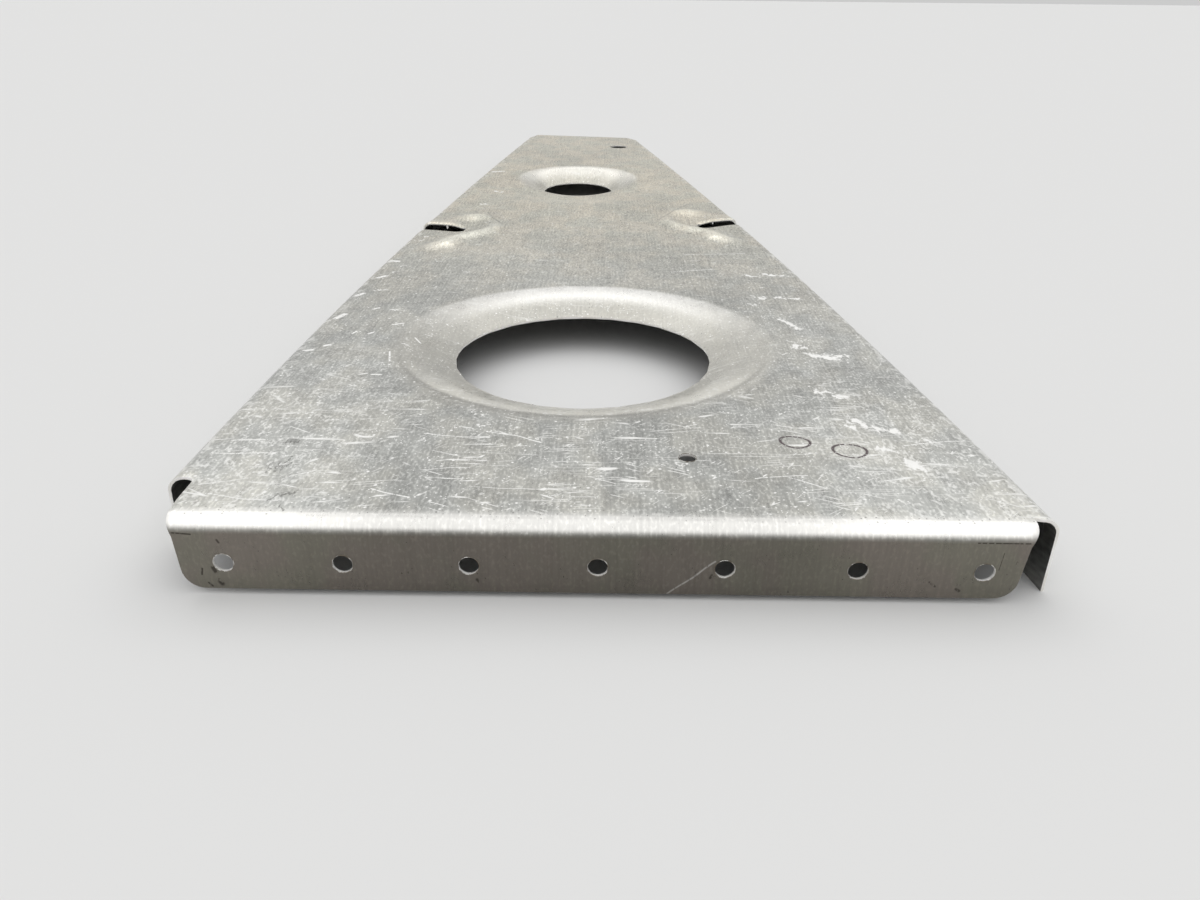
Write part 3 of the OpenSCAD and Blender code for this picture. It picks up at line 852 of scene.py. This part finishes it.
def web_zones(n, place):
    """Masks over the blank, each from where it starts to where it is full, in millimetres."""
    parts = n.add("ShaderNodeSeparateXYZ", {"Vector": place}).node.outputs
    x, y = parts["X"], parts["Y"]

    def from_ring(dimple):
        away = n.vector("LENGTH", n.vector("SUBTRACT", place, (*dimple.centre, 0)), out=1)
        return n.math("SUBTRACT", away, dimple.reach())

    large, small = from_ring(LARGE), from_ring(SMALL)
    large_y, small_y = LARGE.centre[1], SMALL.centre[1]
    # Painted highlights along the outer bend of each dimple's rim: on the far side of the large one and round
    # the sides of the small one
    bright_large = n.where((large, 0.5, -2.5), (large, -14.5, -8), (y, large_y, large_y + LARGE.reach()))
    bright_small = n.where((small, 1, -1.5), (small, -13, -5),
                           (y, small_y - 0.4 * SMALL.reach(), small_y + 0.2 * SMALL.reach()))
    # Painted shade along a line round the large ring's near side
    off_crease = n.math("ABSOLUTE", n.math("ADD", large, 3.4))
    return SimpleNamespace(
        pressed=n.strongest(n.between(large, 3, -5), n.between(small, 3, -5)),
        ring_highlight=n.strongest(bright_large, bright_small),
        ring_crease_shade=n.where((off_crease, 1.4, 0.2), (y, large_y + 10, large_y - 35)),
        # near_ring paints light on the large ring's near slope, and lit_ring on the right side of its rim
        near_ring=n.where((large, -3.5, -6), (y, large_y - 15, large_y - 40)),
        lit_ring=n.where((large, 2, -3), (x, 0, 38)),
        aft=n.between(y, 90, 330),
        far=n.between(y, 60, 200),
        # corners paints a sheen over the sides of the web's front part
        corners=n.between(y, 90, 5),
        chipped=n.where((y, 40, 90), (y, 280, 220)),
        flange=n.between(y, 0.5, -1.6),
        bend=n.where((y, 6.0, 2.5), (y, -1.2, 0.2)),
        bend_top=n.where((y, 1.0, 4.0), (y, 7.5, 4.5)),
        front=n.where((y, 140, 20), (y, -1, 4)),
        sides=n.strongest(n.between(x, 30, 65), n.between(x, -35, -75)),
        fold=n.add("ShaderNodeAttribute", {}, out=2, attribute_name="fold"),
        # crest paints a highlight along the notch rims' crests
        crest=n.add("ShaderNodeAttribute", {}, out=2, attribute_name="crest"))


def strokes(n, place, marks):
    """One mask for a list of strokes, each with its start, end and half width."""
    return n.strongest(*[n.mask(STROKE, Place=place, Start=(x0, y0, 0), End=(x1, y1, 0), Width=w)
                         for x0, y0, x1, y1, w in marks])


def sheet_noise(n, place):
    """The sheet's uneven patterns by the size of their patches, and places shifted for uneven marks."""
    look = SimpleNamespace(
        clouds=n.noise(place, 48, 60, 3), tints=n.noise(place, 16, 22, 2), mottling=n.noise(place, 5, 8, 3),
        patches=n.noise(place, 2.6, 3.6, 4), streaks=n.noise(place, 0.7, 26, 2),
        grain=n.noise(place, 0.7, 1.3, 1), far_grain=n.noise(place, 0.9, 3.2, 2))
    wobble = n.add("ShaderNodeCombineXYZ", {"Y": n.swing(look.clouds, 3)})
    ragging = n.add("ShaderNodeCombineXYZ", {
        "X": n.swing(look.patches, 2.2), "Y": n.swing(look.mottling, 2.4)})
    look.wobbly, look.ragged = n.vector("ADD", place, wobble), n.vector("ADD", place, ragging)
    return look


def bright_wear_and_glints(n, place, zones, look):
    """Where the metal is scratched, scuffed, chipped or rubbed bright, and two painted highlights by the left
    notch's rim.
    """
    hair = n.strongest(*[
        n.mask(HAIRLINES, Place=place, Angle=angle, Length=length, Gap=gap, Width=HAIRLINE_W, Share=share)
        for angle, length, gap, share in HAIRLINE_SETS])
    hair = n.product(hair, n.strongest(zones.front, 0.3))
    off_flange = n.fade(n.strongest(zones.flange, n.product(zones.bend, 0.8)), 1.0, 0.25)
    scratches = strokes(n, look.wobbly, SCRATCHES + CHIPS)
    scratches = n.product(scratches, n.between(look.grain, 0.2, 0.4), off_flange)
    scuffs_and_glints = n.product(strokes(n, look.ragged, SCUFFS_AND_GLINTS), n.between(look.patches, 0.41, 0.49))
    rubbed = n.product(n.between(look.patches, 0.48, 0.62), zones.front,
                       n.strongest(zones.sides, 0.2), n.between(look.grain, 0.36, 0.6))
    edge_rub = n.product(n.between(look.patches, 0.54, 0.64), zones.fold, 0.6)
    coarse_specks = n.mask(SPECKS, Place=place, Spacing=3.0, Size=0.5, Share=0.5)
    fine_specks = n.mask(SPECKS, Place=place, Spacing=1.1, Size=0.28, Share=0.3)
    flakes = n.mask(SPECKS, Place=look.ragged, Spacing=6.0, Size=1.1, Share=0.35)
    flakes = n.product(flakes, zones.sides, zones.chipped)
    flecks = n.mask(SPECKS, Place=look.ragged, Spacing=2.2, Size=0.5, Share=0.4)
    flecks = n.product(flecks, n.between(look.clouds, 0.42, 0.6), n.fade(zones.aft, 0.9, 0.35))
    specks = n.strongest(coarse_specks, fine_specks, flecks, flakes)
    specks = n.product(specks, n.between(look.mottling, 0.35, 0.55))
    fine_wear = n.strongest(hair, specks, n.product(rubbed, 0.5))
    fine_wear = n.product(fine_wear, off_flange, off_flange, off_flange)
    return n.strongest(fine_wear, scratches, scuffs_and_glints, edge_rub)


def dark_marks(n, place, zones, look):
    """Dark marks: dirt in pits, smudges and blots, a dark line under the front bend, and painted shade along
    creases by the notch rims and round the large ring's near side.
    """
    pits = n.product(n.mask(SPECKS, Place=place, Spacing=1.5, Size=0.3, Share=0.5), zones.bend_top)
    smudges = n.product(strokes(n, look.ragged, SMUDGES), n.between(look.grain, 0.3, 0.6), 0.6)
    blots = n.product(strokes(n, place, BLOTS), n.between(look.grain, 0.25, 0.5), 0.85)
    # Painted shade along the creases
    crease_shade = n.strongest(n.product(zones.ring_crease_shade, 0.5), strokes(n, look.wobbly, CREASE_SHADE_STROKES))
    crease_shade = n.product(crease_shade, n.spread(look.mottling, 0.15, 0.45))
    return n.strongest(n.product(pits, 0.6), smudges, blots, crease_shade)


def ink_marks(n, look):
    """The worn lines of the inked rings."""
    ink = n.strongest(*[n.mask(RING, Place=look.wobbly, Centre=(x, y, 0), Radius=r, Width=RING_LINE)
                        for x, y, r in RINGS])
    return n.product(ink, n.between(look.grain, 0.22, 0.45))


def metal_tone(n, zones, look):
    """How much lighter or darker the metal is than its colour, with painted highlights on the dimples' far
    rims and the notch rims' crests, painted light on the large ring's near slope and right side, and a
    painted sheen at the sides of the web's front part.
    """
    uneven = n.total(n.swing(look.clouds, 0.1), n.swing(look.grain, 0.06),
                     n.product(n.swing(look.mottling, 0.1), n.spread(zones.far, 1.0, 0.5)),
                     n.swing(look.streaks, 0.11), n.swing(look.tints, 0.08),
                     n.product(n.between(look.grain, 0.5, 0.78), 0.3),
                     n.product(n.swing(look.far_grain, 0.2), zones.far))
    calm = n.strongest(zones.pressed, n.product(zones.flange, 0.7), zones.bend)
    return n.total(n.product(uneven, n.fade(calm, 1.0, 0.4)),
                   n.product(zones.ring_highlight, n.spread(zones.aft, 0.6, 0.45)),
                   n.product(zones.crest, 0.72), n.product(zones.sides, zones.corners, 0.27),
                   n.product(zones.lit_ring, 0.2), n.product(zones.near_ring, 0.58),
                   n.product(zones.front, n.spread(zones.sides, -0.06, 0.03)),
                   n.product(zones.far, 0.04), 0.965)


def metal_colour(n, zones, look):
    """The metal's colour: cool at the front and warm aft, with painted highlights on the dimples' far rims
    and the front bend, and painted shade darkening the front flange.
    """
    tint = n.between(look.tints, 0.38, 0.62)
    colour = n.mix(zones.aft, n.mix(tint, *COOL_METAL), n.mix(tint, *WARM_METAL))
    colour = n.mix(n.product(zones.pressed, 0.75), colour, PRESSED_METAL)
    colour = n.mix(n.product(zones.ring_highlight, n.spread(zones.aft, 0.8, 0.4)), colour, RING_HIGHLIGHT_METAL)
    colour = n.mix(zones.bend, colour, BEND_HIGHLIGHT_METAL)
    return n.mix(zones.flange, colour, n.mix(n.between(look.tints, 0.4, 0.6), *SHADED_FLANGE_METAL))


def outer_metal():
    """Bare sheet as the mill and the years left it: mottled, speckled and scratched, with painted highlights
    on its bends and rims and painted shade darkening the front flange.
    """
    material, n, shader = new_material("rib_outer_face")
    place = blank_place(n)
    zones, look = web_zones(n, place), sheet_noise(n, place)
    wear_and_glints, ink = bright_wear_and_glints(n, place, zones, look), ink_marks(n, look)
    colour = n.toned(metal_colour(n, zones, look), metal_tone(n, zones, look))
    colour = n.mix(wear_and_glints, colour, SCRATCH_AND_GLINT)
    colour = n.mix(dark_marks(n, place, zones, look), colour, DIRT_AND_SHADE)
    colour = n.mix(n.product(ink, 0.95), colour, INK)
    dulled = n.strongest(n.product(wear_and_glints, 0.4), n.product(ink, 0.6))
    metallic = n.math("SUBTRACT", n.spread(look.grain, 0.7, 0.85), dulled)
    roughness = n.total(n.spread(look.mottling, 0.28, 0.38), n.swing(look.grain, 0.04), n.product(wear_and_glints, 0.2))
    height = n.total(n.product(look.grain, 0.5), n.product(look.streaks, 0.25), n.product(look.mottling, 1.5))
    n.feed(shader, {"Base Color": colour, "Metallic": metallic, "Roughness": roughness,
                    "Normal": n.bumps(height, 0.35, 0.02)})
    return material


def inner_metal():
    """The inside of the sheet: rougher and less scratched, with its colour darkened as painted shade so that
    the inside looks dark.
    """
    material, n, shader = new_material("rib_inner_face")
    place = blank_place(n)
    clouds, grain, streaks = n.noise(place, 35, 50, 3), n.noise(place, 1, 2, 2), n.noise(place, 0.9, 30, 2)
    # The low tone paints shade over the whole inner face
    tone = n.total(n.swing(clouds, 0.07), n.swing(grain, 0.05), n.swing(streaks, 0.05), 0.3)
    colour = n.toned(n.mix(n.between(clouds, 0.35, 0.65), *INNER_METAL), tone)
    hair = n.mask(HAIRLINES, Place=place, Angle=0.3, Length=24, Gap=6, Width=0.012, Share=0.4)
    colour = n.mix(n.product(hair, 0.5), colour, INNER_SCRATCH)
    n.feed(shader, {"Base Color": colour, "Metallic": 1.0, "Roughness": n.spread(clouds, 0.38, 0.5),
                    "Normal": n.bumps(n.total(grain, streaks), 0.3, 0.02)})
    return material


def edge_metal():
    """The sheet's cut edge, filed bright."""
    material, n, shader = new_material("rib_cut_edge")
    place = blank_place(n)
    rough_cut, patches = n.noise(place, 0.5, 0.5, 2), n.noise(place, 6, 6, 2)
    colour = n.mix(n.between(patches, 0.35, 0.7), *FILED_METAL)
    n.feed(shader, {"Base Color": colour, "Metallic": 0.1, "Roughness": n.spread(rough_cut, 0.35, 0.55),
                    "Normal": n.bumps(rough_cut, 0.4, 0.03)})
    return material


def burr_metal():
    """Torn metal round a drilled hole: bright, with darker dirt caught in it."""
    material, n, shader = new_material("rib_burr")
    place = n.scaled(n.add("ShaderNodeTexCoord", {}).node.outputs["Object"], 1 / MM)
    torn, dirt = n.noise(place, 0.4, 0.4, 2), n.noise(place, 1.5, 1.5, 1)
    colour = n.mix(n.between(torn, 0.35, 0.65), *TORN_METAL)
    colour = n.mix(n.between(dirt, 0.5, 0.65), colour, BURR_DIRT)
    n.feed(shader, {"Base Color": colour, "Metallic": 0.6, "Roughness": n.spread(torn, 0.3, 0.5),
                    "Normal": n.bumps(torn, 0.3, 0.02)})
    return material


def make_camera():
    """The camera, where the photograph's stood, tipped down over the front flange."""
    across = Vector((math.cos(YAW), math.sin(YAW), 0))
    level = Vector((-math.sin(YAW), math.cos(YAW), 0))
    forward = level * math.cos(PITCH) - Vector((0, 0, math.sin(PITCH)))
    down = -level * math.sin(PITCH) - Vector((0, 0, math.cos(PITCH)))
    right = across * math.cos(ROLL) + down * math.sin(ROLL)
    under = down * math.cos(ROLL) - across * math.sin(ROLL)
    data = bpy.data.cameras.new("camera")
    data.lens, data.sensor_width = LENS, FRAME_W
    data.clip_start = 0.01
    camera = placed("camera", data)
    turn = Matrix((right, -under, -forward)).transposed().to_4x4()
    place = (CAMERA_PLACE + TO_FRAME) * MM
    camera.matrix_world = Matrix.Translation(Vector(place)) @ turn
    bpy.context.scene.camera = camera


def make_floor():
    """A plain pale floor under the rib."""
    mesh = bpy.data.meshes.new("floor")
    r = FLOOR_REACH
    mesh.from_pydata([(-r, -r, 0), (r, -r, 0), (r, r, 0), (-r, r, 0)], [], [(0, 1, 2, 3)])
    floor = placed("floor", mesh)
    paint, n, shader = new_material("floor")
    n.feed(shader, {"Base Color": FLOOR_PAINT, "Roughness": 0.9})
    mesh.materials.append(paint)


def make_sky():
    """A soft studio sky: brightest in a broad band behind the rib and overhead."""
    world = bpy.data.worlds.new("studio")
    world.use_nodes = True
    n = Nodes(world.node_tree)
    towards = n.add("ShaderNodeTexCoord", {}).node.outputs["Generated"]
    parts = n.add("ShaderNodeSeparateXYZ", {"Vector": towards}).node.outputs
    band = n.where((parts["Z"], 0.52, 0.7), (parts["Z"], 0.9, 0.76), (parts["Y"], 0.0, 0.5))
    tipped = n.vector("DOT_PRODUCT", towards, (0, -0.34, 0.94), out=1)
    overhead = n.between(tipped, 0.5, 0.88)
    behind = n.between(parts["Y"], -0.5, 0.5)
    light = n.total(n.fade(behind, 0.45, 0.6), n.product(n.strongest(band, overhead), 0.9))
    n.feed(n.tree.nodes["Background"].inputs, {"Strength": light, "Color": SKY})
    bpy.context.scene.world = world
    bpy.context.scene.view_settings.view_transform = "Standard"


make_camera()
make_floor()
make_sky()
rib = make_rib_sheet([outer_metal(), inner_metal(), edge_metal()])
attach(rib, "root")
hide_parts("wing_rib")
burrs = make_burrs(burr_metal())
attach(burrs, "root")
